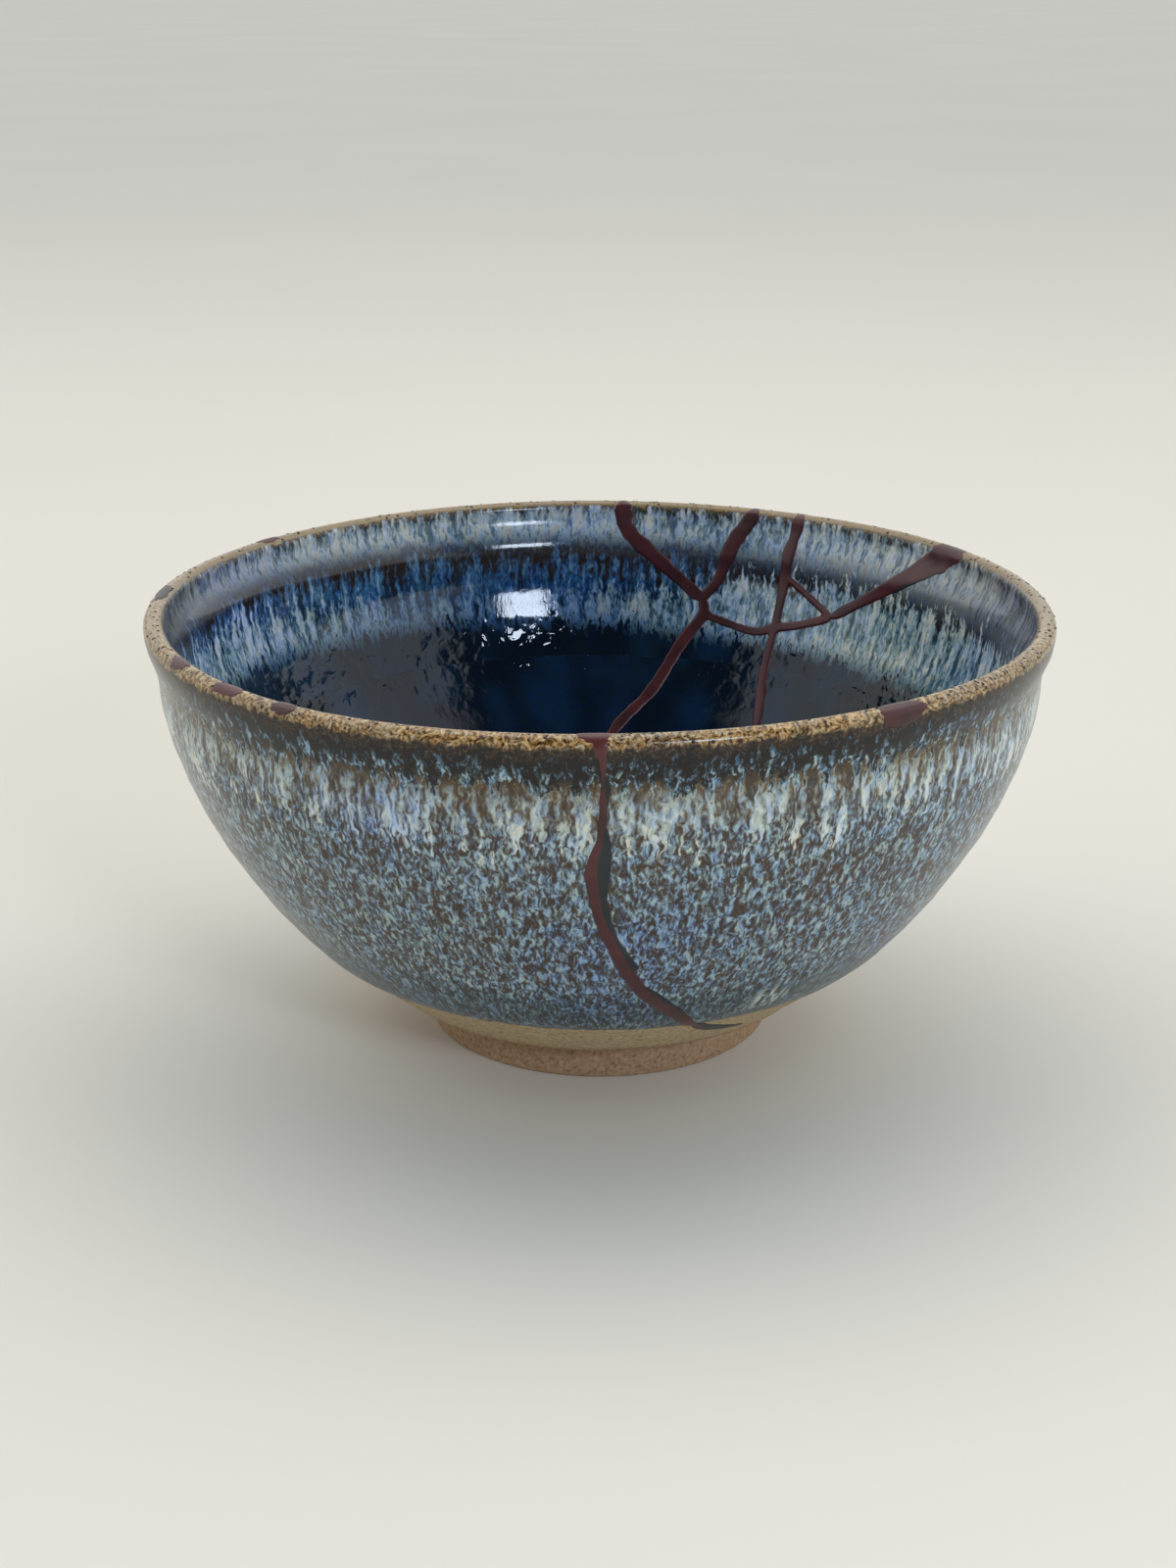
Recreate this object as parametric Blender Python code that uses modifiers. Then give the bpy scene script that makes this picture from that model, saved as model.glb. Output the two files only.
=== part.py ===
"""A mended tea bowl: glazed stoneware on a turned foot ring, with lacquer in its cracks and rim chips.

Metres, +Z up. The origin is the centre of the foot ring's underside. Angles round the bowl are in degrees:
0 is the front (-Y), 90 the right (+X) and 180 the back (+Y). A place on the wall is a share of the way down
from the lip's ridge: 0 to 1 runs down the inside to the middle of the floor, and 0 to -1 down the outside to
the shelf's edge.
"""

import math

import bmesh
import bpy
from mathutils import Matrix, Vector

# The lip, a rounded bead that flares out over a slight neck
RIM_RADIUS = 0.0650
BOWL_HEIGHT = 0.0644
LIP_THICKNESS = 0.0028
NECK_INSET = 0.0017
NECK_DROP = 0.0088

# The body, which drops steeply from the neck and then runs in to the line where the glaze ends
GLAZE_LINE_RADIUS = 0.0421
GLAZE_LINE_HEIGHT = 0.0157
BODY_STEEPNESS = 0.0131
BODY_SPREAD = 0.0116
BODY_END_SLOPE = 37.0

# The bare clay shelf turned below the glaze line, and its edge
SHELF_RADIUS = 0.0326
SHELF_HEIGHT = 0.0081
SHELF_EDGE = 0.0005

# The foot ring, set in under the shelf, and the shallow hollow turned inside it
FOOT_RADIUS = 0.0254
FOOT_DRAFT = 0.0005
FOOT_FILLET = 0.0008
FOOT_RING_WIDTH = 0.0049
FOOT_BEVEL = 0.0005
RECESS_DEPTH = 0.0038
RECESS_FILLET = 0.0012

# The wall, thin at the neck and thicker at the glaze line, and the clay between the floor and the foot's hollow
NECK_WALL = 0.0034
LOWER_WALL = 0.0055
FLOOR_THICKNESS = 0.0062

# How finely the round shapes are cut
SEGMENTS = 48
LIP_STEPS = 3
FLARE_STEPS = 3
BODY_STEPS = 8
FLOOR_STEPS = 5
SEAM_STEP = 0.0065
SEAM_BEVEL_RESOLUTION = 1
CHIP_SEGMENTS = 12
CHIP_RINGS = 6

# The lacquer's depth into the wall, how far it stands proud of it, and the gap all round it
LACQUER_DEPTH = 0.0008
LACQUER_PROUD = 0.0003
LACQUER_GAP = 0.0003

# The usual width of a seam, and the seams as (angle, place on the wall, share of that width), in order
SEAM_WIDTH = 0.0015
SEAMS = {
    "front": [
        (31.0, -0.92, 0.60),
        (24.5, -0.89, 0.87),
        (19.1, -0.84, 1.13),
        (10.1, -0.71, 1.27),
        (4.5, -0.58, 1.20),
        (1.9, -0.49, 1.13),
        (0.2, -0.40, 1.07),
        (-0.9, -0.30, 1.20),
        (0.1, -0.21, 0.73),
        (0.4, -0.12, 0.60),
        (0.2, -0.05, 0.93),
        (0.0, -0.02, 1.33),
        (-0.2, 0.0, 1.47),
        (-0.1, 0.02, 1.33),
        (0.4, 0.06, 0.87),
        (0.3, 0.15, 0.80),
        (-0.9, 0.22, 1.07),
        (0.4, 0.31, 1.00),
        (5.0, 0.44, 1.00),
        (13.0, 0.58, 0.93),
        (27.0, 0.74, 0.87),
        (62.0, 0.87, 0.87),
        (120.0, 0.88, 0.87),
        (158.0, 0.80, 0.87),
    ],
    "back_left": [
        (176.4, 0.0, 2.07),
        (176.3, 0.02, 2.00),
        (175.4, 0.06, 1.60),
        (171.7, 0.10, 1.53),
        (163.0, 0.179, 1.27),
    ],
    "back_middle": [
        (155.7, 0.0, 1.93),
        (155.9, 0.02, 1.87),
        (158.3, 0.07, 2.07),
        (160.3, 0.137, 1.33),
        (163.0, 0.179, 1.27),
    ],
    "back_left_lower": [
        (163.0, 0.179, 1.27),
        (162.4, 0.205, 1.07),
        (165.7, 0.263, 1.00),
        (170.3, 0.354, 0.93),
        (176.9, 0.43, 0.87),
        (181.0, 0.52, 0.87),
        (180.0, 0.66, 0.87),
        (158.0, 0.80, 0.87),
    ],
    "back_right": [
        (148.0, 0.0, 1.73),
        (148.1, 0.02, 1.73),
        (148.7, 0.07, 1.60),
        (149.1, 0.137, 1.33),
        (149.4, 0.214, 1.07),
        (149.7, 0.30, 1.00),
        (148.3, 0.392, 0.93),
        (146.0, 0.52, 0.87),
        (148.0, 0.66, 0.87),
        (158.0, 0.80, 0.87),
    ],
    "back_cross": [
        (162.4, 0.205, 0.87),
        (153.6, 0.226, 0.80),
        (149.4, 0.214, 0.80),
        (145.1, 0.202, 0.80),
        (139.5, 0.179, 0.93),
    ],
    "back_short": [
        (149.0, 0.12, 0.93),
        (145.0, 0.145, 0.87),
        (139.5, 0.179, 0.93),
    ],
    "right": [
        (139.5, 0.179, 1.20),
        (135.3, 0.147, 1.27),
        (127.2, 0.084, 1.53),
        (123.4, 0.045, 1.73),
        (121.0, 0.02, 1.87),
        (120.4, 0.0, 1.87),
    ],
}

# The back cracks come through the wall, and end outside above the shelf
THROUGH_CRACKS = ["back_left", "back_middle", "back_left_lower", "back_right", "back_cross", "right"]
OUTSIDE_END = -0.78
OUTSIDE_NARROWING = 0.85

# The filled chips in the lip: the usual size, and each as (angle, share of the length, share of the depth)
CHIP_LENGTH = 0.0060
CHIP_WIDTH = 0.0044
CHIP_DEPTH = 0.0016
RIM_FILLS = {
    "rim_fill_front_right": (35.2, 1.45, 1.6),
    "rim_fill_front_left": (-37.9, 0.8, 0.95),
    "rim_fill_left_front": (-47.8, 1.1, 1.0),
    "rim_fill_left": (-60.0, 1.05, 0.95),
    "rim_fill_left_back": (-92.5, 1.75, 1.4),
    "rim_fill_back_left": (-124.0, 1.05, 1.05),
}

# The wider patches where two of the seams cross the lip, in the same form
LIP_PATCHES = {
    "front_patch": (-0.4, 0.67, 1.0),
    "right_patch": (119.2, 1.15, 1.25),
}


def bezier(p0, p1, p2, p3, steps):
    """Points along a cubic curve, both ends included."""
    line = []
    for i in range(steps + 1):
        t = i / steps
        s = 1 - t
        line.append(s**3 * p0 + 3 * s * s * t * p1 + 3 * s * t * t * p2 + t**3 * p3)
    return line


def arc(centre, radius, start, end, steps):
    """Points on an arc in the section's plane, by angle in degrees from the radius direction."""
    line = []
    for i in range(steps + 1):
        a = math.radians(start + (end - start) * i / steps)
        line.append(centre + radius * Vector((math.cos(a), math.sin(a))))
    return line


def lip_centre():
    """The centre of the lip's round bead, as (radius, height)."""
    return Vector((RIM_RADIUS - LIP_THICKNESS / 2, BOWL_HEIGHT - LIP_THICKNESS / 2))


def flare(top, bottom):
    """The stretch that joins the lip to the neck, upright at both ends."""
    half = Vector((0.0, (top.y - bottom.y) / 2))
    return bezier(top, top - half, bottom + half, bottom, FLARE_STEPS)


def body_line():
    """The outside of the body as (radius, height), from the neck down to the glaze line."""
    neck = Vector((RIM_RADIUS - NECK_INSET, BOWL_HEIGHT - NECK_DROP))
    glaze_line = Vector((GLAZE_LINE_RADIUS, GLAZE_LINE_HEIGHT))
    slope = math.radians(BODY_END_SLOPE)
    neck_handle = neck - Vector((0.0, BODY_STEEPNESS))
    end_handle = glaze_line + BODY_SPREAD * Vector((math.cos(slope), math.sin(slope)))
    return bezier(neck, neck_handle, end_handle, glaze_line, BODY_STEPS)


def outer_line():
    """The whole outside as (radius, height), from the lip's ridge down to the shelf's edge."""
    centre = lip_centre()
    body = body_line()
    line = arc(centre, LIP_THICKNESS / 2, 90, 0, LIP_STEPS)
    line += flare(line[-1], body[0])[1:]
    line += body[1:]
    line.append(Vector((SHELF_RADIUS, SHELF_HEIGHT)))
    return line


def inner_line():
    """The whole inside as (radius, height), from the lip's ridge down to the middle of the floor."""
    body = body_line()
    wall = []
    for i, point in enumerate(body):
        along = (body[min(i + 1, BODY_STEPS)] - body[max(i - 1, 0)]).normalized()
        thickness = NECK_WALL + (LOWER_WALL - NECK_WALL) * i / BODY_STEPS
        wall.append(point + thickness * Vector((along.y, -along.x)))
    line = arc(lip_centre(), LIP_THICKNESS / 2, 90, 180, LIP_STEPS)
    line += flare(line[-1], wall[0])[1:]
    line += wall[1:]
    floor = Vector((0.0, RECESS_DEPTH + FLOOR_THICKNESS))
    slope = wall[-1] - wall[-2]
    bend = wall[-1] + slope * (wall[-1].y - floor.y) / -slope.y
    line += bezier(wall[-1], bend, (bend + floor) / 2, floor, FLOOR_STEPS)[1:]
    return line


def foot_line():
    """The turned underside as (radius, height), from the shelf's edge to the middle of the foot's hollow."""
    under = SHELF_HEIGHT - SHELF_EDGE
    foot_top = FOOT_RADIUS + FOOT_DRAFT
    ring_inside = FOOT_RADIUS - FOOT_RING_WIDTH
    line = [Vector((SHELF_RADIUS - SHELF_EDGE, under))]
    line += arc(Vector((foot_top + FOOT_FILLET, under - FOOT_FILLET)), FOOT_FILLET, 90, 180, 2)
    line += [
        Vector((FOOT_RADIUS, FOOT_BEVEL)),
        Vector((FOOT_RADIUS - FOOT_BEVEL, 0.0)),
        Vector((ring_inside + FOOT_BEVEL, 0.0)),
        Vector((ring_inside, FOOT_BEVEL)),
    ]
    line += arc(Vector((ring_inside - RECESS_FILLET, RECESS_DEPTH - RECESS_FILLET)), RECESS_FILLET, 0, 90, 2)
    line.append(Vector((0.0, RECESS_DEPTH)))
    return line


def section():
    """The bowl's whole section, from the middle of the floor over the lip to the middle of the underside."""
    return inner_line()[::-1] + outer_line()[1:] + foot_line()


def grown(line, distance):
    """A section moved outwards by a distance, with its ends kept on the axis."""
    moved = []
    for i, point in enumerate(line):
        along = (line[min(i + 1, len(line) - 1)] - line[max(i - 1, 0)]).normalized()
        moved.append(point + distance * Vector((-along.y, along.x)))
    moved[0].x = 0.0
    moved[-1].x = 0.0
    return moved


def walk(line, share):
    """The point a share of the way along a line."""
    lengths = [(b - a).length for a, b in zip(line, line[1:])]
    left = share * sum(lengths)
    for start, end, length in zip(line, line[1:], lengths):
        if left <= length:
            return start.lerp(end, left / length)
        left -= length
    return line[-1]


def wall_point(place):
    """The (radius, height) of a place on the wall."""
    return walk(OUTER, -place) if place < 0 else walk(INNER, place)


def wall_frame(angle, place):
    """A place on the wall, and the direction that points straight out of the wall there."""
    radius, height = wall_point(place)
    above = wall_point(max(place - 0.01, -1))
    below = wall_point(min(place + 0.01, 1))
    along = (below - above).normalized()
    a = math.radians(angle)
    outwards = Vector((math.sin(a), -math.cos(a), 0))
    point = outwards * radius + Vector((0, 0, height))
    normal = outwards * along.y + Vector((0, 0, -along.x))
    return point, normal


def spline(before, start, end, after, t):
    """A smooth step between two of a seam's points, led by the points on either side."""
    return tuple(
        0.5 * (2 * b + (c - a) * t + (2 * a - 5 * b + 4 * c - d) * t * t + (3 * b - a - 3 * c + d) * t**3)
        for a, b, c, d in zip(before, start, end, after)
    )


def seam_steps(route):
    """A seam's points as (angle, place, width), close enough together to follow the wall."""
    steps = []
    for i in range(len(route) - 1):
        before = route[max(i - 1, 0)]
        after = route[min(i + 2, len(route) - 1)]
        start = wall_frame(*route[i][:2])[0]
        end = wall_frame(*route[i + 1][:2])[0]
        count = max(1, round((end - start).length / SEAM_STEP))
        steps += [spline(before, route[i], route[i + 1], after, j / count) for j in range(count)]
    steps.append(route[-1])
    return steps


def outside_route(route):
    """The same crack where it comes through to the outside, level with the inside."""
    ratio = length_of(INNER) / length_of(OUTER)
    outside = [(angle, -place * ratio, width * OUTSIDE_NARROWING) for angle, place, width in route]
    return [step for step in outside if step[1] >= OUTSIDE_END]


def length_of(line):
    """The length of a line of points."""
    return sum((b - a).length for a, b in zip(line, line[1:]))


def over_lip(route):
    """A route that starts on the lip's ridge, carried over it and down the outside."""
    return outside_route(route)[:0:-1] + route


def collection(name):
    """A new collection in the scene."""
    made = bpy.data.collections.new(name)
    bpy.context.scene.collection.children.link(made)
    return made


def material(name, colour, roughness):
    """A plain Principled BSDF material."""
    made = bpy.data.materials.new(name)
    made.use_nodes = True
    shader = made.node_tree.nodes["Principled BSDF"]
    shader.inputs["Base Color"].default_value = (*colour, 1.0)
    shader.inputs["Roughness"].default_value = roughness
    shader.inputs["Metallic"].default_value = 0.0
    return made


def hidden(obj):
    """Mark an object as a cutter or a guide."""
    obj.hide_render = True
    obj.display_type = "WIRE"
    return obj


def turned(name, line, where):
    """A solid turned from a section."""
    mesh = bpy.data.meshes.new(name)
    points = [(radius, 0.0, height) for radius, height in line]
    mesh.from_pydata(points, [(i, i + 1) for i in range(len(points) - 1)], [])
    obj = bpy.data.objects.new(name, mesh)
    where.objects.link(obj)
    screw = obj.modifiers.new("Turn", "SCREW")
    screw.steps = SEGMENTS
    screw.render_steps = SEGMENTS
    screw.use_merge_vertices = True
    screw.merge_threshold = 0.00001
    screw.use_smooth_shade = True
    return obj


def tube(name, route, growth, where):
    """A round bar along a seam, sunk into the wall, fatter all round by the growth."""
    curve = bpy.data.curves.new(name, "CURVE")
    curve.dimensions = "3D"
    curve.bevel_depth = SEAM_WIDTH
    curve.bevel_resolution = SEAM_BEVEL_RESOLUTION
    curve.use_fill_caps = True
    centres = []
    radii = []
    for angle, place, share in seam_steps(route):
        width = SEAM_WIDTH * share
        depth = min(LACQUER_DEPTH, width / 2)
        radius = (width * width / 4 + depth * depth) / (2 * depth)
        surface, normal = wall_frame(angle, place)
        centres.append(surface + normal * (radius - depth))
        radii.append(radius + growth)
    centres[0] += (centres[0] - centres[1]).normalized() * growth
    centres[-1] += (centres[-1] - centres[-2]).normalized() * growth
    line = curve.splines.new("POLY")
    line.points.add(len(centres) - 1)
    for point, centre, radius in zip(line.points, centres, radii):
        point.co = (*centre, 1.0)
        point.radius = radius / curve.bevel_depth
    guide = bpy.data.objects.new(name, curve)
    where.objects.link(guide)
    solid = bpy.data.meshes.new_from_object(guide.evaluated_get(bpy.context.evaluated_depsgraph_get()))
    cage = bmesh.new()
    cage.from_mesh(solid)
    bmesh.ops.remove_doubles(cage, verts=cage.verts, dist=0.000001)
    cage.to_mesh(solid)
    cage.free()
    obj = bpy.data.objects.new(name, solid)
    obj.matrix_world = guide.matrix_world
    where.objects.link(obj)
    bpy.data.objects.remove(guide)
    bpy.data.curves.remove(curve)
    return hidden(obj)


def chip(name, angle, length, depth, growth, where):
    """The rounded hollow of one rim chip, fatter all round by the growth."""
    a = math.radians(angle)
    outwards = Vector((math.sin(a), -math.cos(a), 0))
    centre = outwards * lip_centre().x + Vector((0, 0, BOWL_HEIGHT))
    size = Vector((CHIP_WIDTH / 2, CHIP_LENGTH * length / 2, CHIP_DEPTH * depth))
    size += Vector((growth, growth, growth))
    place = Matrix.Translation(centre) @ Matrix.Rotation(a - math.pi / 2, 4, "Z") @ Matrix.Diagonal((*size, 1))
    cage = bmesh.new()
    bmesh.ops.create_uvsphere(cage, u_segments=CHIP_SEGMENTS, v_segments=CHIP_RINGS, radius=1, matrix=place)
    mesh = bpy.data.meshes.new(name)
    cage.to_mesh(mesh)
    cage.free()
    obj = bpy.data.objects.new(name, mesh)
    where.objects.link(obj)
    return hidden(obj)


def boolean(obj, operation, operand):
    """Add a Boolean with an object or with a whole collection."""
    step = obj.modifiers.new(operation.capitalize(), "BOOLEAN")
    step.operation = operation
    step.solver = "EXACT"
    if isinstance(operand, bpy.types.Collection):
        step.operand_type = "COLLECTION"
        step.collection = operand
    else:
        step.object = operand


def seam_routes():
    """Every seam's route, with the back cracks carried over the lip to the outside."""
    routes = dict(SEAMS)
    for name in THROUGH_CRACKS:
        route = SEAMS[name]
        if route[0][1] == 0.0:
            routes[name] = over_lip(route)
        elif route[-1][1] == 0.0:
            routes[name] = over_lip(route[::-1])
        else:
            routes[name + "_outside"] = outside_route(route)
    return routes


def make_bowl(where, grooves, clay):
    """The bowl itself, one thrown and turned piece with a groove for every seam and chip."""
    bowl = turned("bowl", section(), where)
    bowl.data.materials.append(clay)
    boolean(bowl, "DIFFERENCE", grooves)
    return bowl


def make_lacquer_mend(where, skin, bars, lacquer):
    """The lacquer in the cracks, one joined network that goes over the lip from outside to inside."""
    first, *others = bars.objects[:]
    mend = bpy.data.objects.new("lacquer_mend", first.data.copy())
    bpy.data.objects.remove(first)
    where.objects.link(mend)
    mend.data.materials.append(lacquer)
    mend.data.shade_smooth()
    boolean(mend, "UNION", bars)
    boolean(mend, "INTERSECT", skin)
    return mend


def make_rim_fill(name, chip_form, where, skin, lacquer):
    """One filled rim chip, rounded off level with the lip."""
    fill = hidden(bpy.data.objects.new(name, chip_form.data))
    fill.hide_render = False
    fill.display_type = "TEXTURED"
    where.objects.link(fill)
    fill.data.materials.append(lacquer)
    fill.data.shade_smooth()
    boolean(fill, "INTERSECT", skin)
    return fill


for old in list(bpy.data.objects):
    bpy.data.objects.remove(old)

OUTER = outer_line()
INNER = inner_line()
parts = collection("tea_bowl")
guides = collection("guides")
bars = collection("seam_bars")
grooves = collection("grooves")

glazed_stoneware = material("Glazed stoneware", (0.115, 0.105, 0.125), 0.25)
red_brown_lacquer = material("Red-brown lacquer", (0.082, 0.030, 0.030), 0.35)

skin = hidden(turned("skin", grown(section(), LACQUER_PROUD), guides))
for seam, route in seam_routes().items():
    tube(seam + "_bar", route, 0.0, bars)
    tube(seam + "_groove", route, LACQUER_GAP, grooves)
for name, (angle, length, depth) in LIP_PATCHES.items():
    chip(name, angle, length, depth, 0.0, bars)
    chip(name + "_groove", angle, length, depth, LACQUER_GAP, grooves)
for name, (angle, length, depth) in RIM_FILLS.items():
    form = chip(name + "_form", angle, length, depth, 0.0, guides)
    chip(name + "_groove", angle, length, depth, LACQUER_GAP, grooves)
    make_rim_fill(name, form, parts, skin, red_brown_lacquer)
make_bowl(parts, grooves, glazed_stoneware)
make_lacquer_mend(parts, skin, bars, red_brown_lacquer)
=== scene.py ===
# %% [markdown]
# # A mended tea bowl
# This is a thrown stoneware bowl, 130 mm across, with a rutile and iron glaze, an ochre lip and a bare clay
# foot. It was broken, and lacquer fills its cracks and the chips in its lip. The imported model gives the
# frame, in metres: every piece made below keeps to its places and sizes, with the foot standing at height 0.

import math

import bpy
import numpy as np
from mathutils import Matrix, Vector


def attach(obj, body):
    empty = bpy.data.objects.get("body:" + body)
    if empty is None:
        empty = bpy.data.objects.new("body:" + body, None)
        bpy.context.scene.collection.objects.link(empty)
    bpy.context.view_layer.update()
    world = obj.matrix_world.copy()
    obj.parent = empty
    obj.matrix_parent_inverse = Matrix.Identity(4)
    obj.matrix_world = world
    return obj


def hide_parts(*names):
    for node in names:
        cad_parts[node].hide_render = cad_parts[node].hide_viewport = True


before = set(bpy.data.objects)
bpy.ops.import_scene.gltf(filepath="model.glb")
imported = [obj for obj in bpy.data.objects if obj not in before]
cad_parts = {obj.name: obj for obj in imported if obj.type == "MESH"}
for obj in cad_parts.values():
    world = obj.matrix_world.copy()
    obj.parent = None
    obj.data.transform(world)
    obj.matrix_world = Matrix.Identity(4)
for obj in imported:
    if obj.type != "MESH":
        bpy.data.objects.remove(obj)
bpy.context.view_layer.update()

# %% [markdown]
# ## The camera
# The rim and the foot are two circles of known height, so their two ellipses in a photo fix the camera. It
# stood 0.33 m in front of the bowl, looking down by 19.4 degrees, with a lens a little longer than normal.
# The bowl is slightly to the right of the middle, which a small turn of the camera gives.

# %% Camera


def in_scene(name, data):
    """An object with this data, at the origin and linked to the scene."""
    obj = bpy.data.objects.new(name, data)
    bpy.context.scene.collection.objects.link(obj)
    return obj


CAMERA_PLACE = (0.0, -0.3293, 0.1517)
CAMERA_PITCH = 19.41
CAMERA_TURN = 0.294
FOCAL_LENGTH = 54
SENSOR_LENGTH = 36

lens = bpy.data.cameras.new("camera")
lens.lens = FOCAL_LENGTH
lens.sensor_width = SENSOR_LENGTH
lens.clip_start = 0.01
camera = in_scene("camera", lens)
camera.location = CAMERA_PLACE
camera.rotation_euler = (math.radians(90 - CAMERA_PITCH), 0, math.radians(CAMERA_TURN))
bpy.context.scene.camera = camera
bpy.context.scene.view_settings.view_transform = "Standard"
print("camera at", CAMERA_PLACE)

# %% [markdown]
# ## Helpers for materials and node trees
# A colour read off a screen is an sRGB value, and a shader works with linear light, so one function turns
# the hex value. Another adds a node to any tree with its settings, its values and its links in one line. A
# third makes the plainer materials, whose colour drifts a little as hand-made surfaces do.

# %% Colours and nodes
MM = 0.001
MATH = "ShaderNodeMath"
MIX = "ShaderNodeMix"
RANGE = "ShaderNodeMapRange"
NOISE = "ShaderNodeTexNoise"
ATTRIBUTE = "GeometryNodeInputNamedAttribute"


def linear(hex_colour):
    """An sRGB hex value as linear red, green, blue and alpha."""
    parts = [int(hex_colour[i : i + 2], 16) / 255 for i in (1, 3, 5)]
    return [p / 12.92 if p <= 0.04045 else ((p + 0.055) / 1.055) ** 2.4 for p in parts] + [1.0]


def usable(sockets, key):
    """The socket of that number, or the one of that name which the node's settings leave in use."""
    if isinstance(key, int):
        return sockets[key]
    return next(s for s in sockets if s.name == key and s.enabled)


def first_output(node):
    """The first output that the node's settings leave in use."""
    return next(s for s in node.outputs if s.enabled)


def add(tree, kind, inputs=None, operation=None, stops=None, **settings):
    """Add a node. An input is a value, a socket, or a node, which stands for its first socket in use."""
    node = tree.nodes.new(kind)
    if operation:
        node.operation = operation
    for name, value in settings.items():
        setattr(node, name, value)
    for key, value in (inputs or {}).items():
        socket = usable(node.inputs, key)
        if isinstance(value, bpy.types.Node):
            value = first_output(value)
        if isinstance(value, bpy.types.NodeSocket):
            tree.links.new(value, socket)
        else:
            socket.default_value = value
    if stops:
        ramp = node.color_ramp.elements
        while len(ramp) < len(stops):
            ramp.new(0.5)
        for element, (place, colour) in zip(ramp, stops):
            element.position = place
            element.color = linear(colour)
    return node


def new_material(name):
    """A material with its node tree, its shader and its Object coordinates."""
    made = bpy.data.materials.new(name)
    made.use_nodes = True
    tree = made.node_tree
    where = add(tree, "ShaderNodeTexCoord").outputs["Object"]
    return made, tree, tree.nodes["Principled BSDF"], where


def drifting(name, patch_size, detail, stops, roughness, peel=None):
    """A material whose colour drifts between stops over patches of a size, perhaps with an orange peel."""
    made, tree, shader, where = new_material(name)
    slow = add(tree, NOISE, {"Vector": where, "Scale": 1 / patch_size, "Detail": detail})
    tone = add(tree, "ShaderNodeValToRGB", {"Fac": slow.outputs["Fac"]}, stops=stops)
    tree.links.new(tone.outputs["Color"], shader.inputs["Base Color"])
    shader.inputs["Roughness"].default_value = roughness
    if peel:
        fine = add(tree, NOISE, {"Vector": where, "Scale": 1 / peel, "Detail": 2.0})
        relief = {"Strength": 0.25, "Distance": 0.04 * MM, "Height": fine.outputs["Fac"]}
        tree.links.new(add(tree, "ShaderNodeBump", relief).outputs["Normal"], shader.inputs["Normal"])
    return made


# %% [markdown]
# ## The section of the bowl
# A potter throws a bowl round an axis, so one section holds its whole shape: a round bead for a lip, a
# slight neck under it, a full body, and a foot ring set in under a shelf of bare clay. Places on it are
# given by their run, the distance along the surface from the lip's ridge. The run is positive down the
# inside and negative down the outside, so a seam or a band of glaze can be laid on the wall like ink on a
# sheet.

# %% The section
RIM_RADIUS = 65.0 * MM
BOWL_HEIGHT = 64.4 * MM
LIP_THICKNESS = 2.8 * MM
NECK_INSET = 1.7 * MM
NECK_DROP = 8.8 * MM
NECK_WALL = 3.4 * MM
LOWER_WALL = 5.5 * MM
LOWER_SLOPE = math.radians(37)
NECK_REACH = 13.1 * MM
LOWER_REACH = 11.6 * MM
GLAZE_LINE = np.array((42.1, 15.7)) * MM
SHELF = np.array((32.6, 8.1)) * MM
FLOOR_HEIGHT = 10.0 * MM
FOOT_RADIUS = 25.4 * MM
RING_INSIDE = 20.5 * MM
RECESS_DEPTH = 3.8 * MM
RECESS_CORNER = 1.2 * MM
FOOT_TOP = 7.6 * MM
FOOT_CORNER = 0.8 * MM
FOOT_TAPER = 0.5 * MM
WORN_EDGE = 0.5 * MM


def bezier(p0, p1, p2, p3, steps=80):
    """Points along a cubic curve."""
    t = np.linspace(0, 1, steps + 1)[:, None]
    s = 1 - t
    return s**3 * p0 + 3 * s * s * t * p1 + 3 * s * t * t * p2 + t**3 * p3


def arc(centre, radius, start, end, steps):
    """Points on an arc, by angle in degrees."""
    t = np.radians(np.linspace(start, end, steps + 1))
    return np.array(centre) + radius * np.stack([np.cos(t), np.sin(t)], 1)


def runs_along(line):
    """The distance along a line to each of its points."""
    return np.concatenate([[0], np.cumsum(np.linalg.norm(np.diff(line, axis=0), axis=1))])


lip_centre = np.array((RIM_RADIUS - LIP_THICKNESS / 2, BOWL_HEIGHT - LIP_THICKNESS / 2))
neck = np.array((RIM_RADIUS - NECK_INSET, BOWL_HEIGHT - NECK_DROP))
body_end = GLAZE_LINE + LOWER_REACH * np.array((math.cos(LOWER_SLOPE), math.sin(LOWER_SLOPE)))
body = bezier(neck, neck - (0, NECK_REACH), body_end, GLAZE_LINE)
along = np.gradient(body, axis=0)
along /= np.linalg.norm(along, axis=1)[:, None]
wall_thickness = np.linspace(NECK_WALL, LOWER_WALL, len(body))[:, None]
inner_body = body + wall_thickness * np.stack([along[:, 1], -along[:, 0]], 1)


def lip_and_flare(neck_point, end_angle):
    """The half of the lip's bead on one side, and the flare that joins it to the neck."""
    bead = arc(lip_centre, LIP_THICKNESS / 2, 90, end_angle, 24)
    half = np.array((0, (bead[-1][1] - neck_point[1]) / 2))
    return np.vstack([bead, bezier(bead[-1], bead[-1] - half, neck_point + half, neck_point)[1:]])


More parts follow.
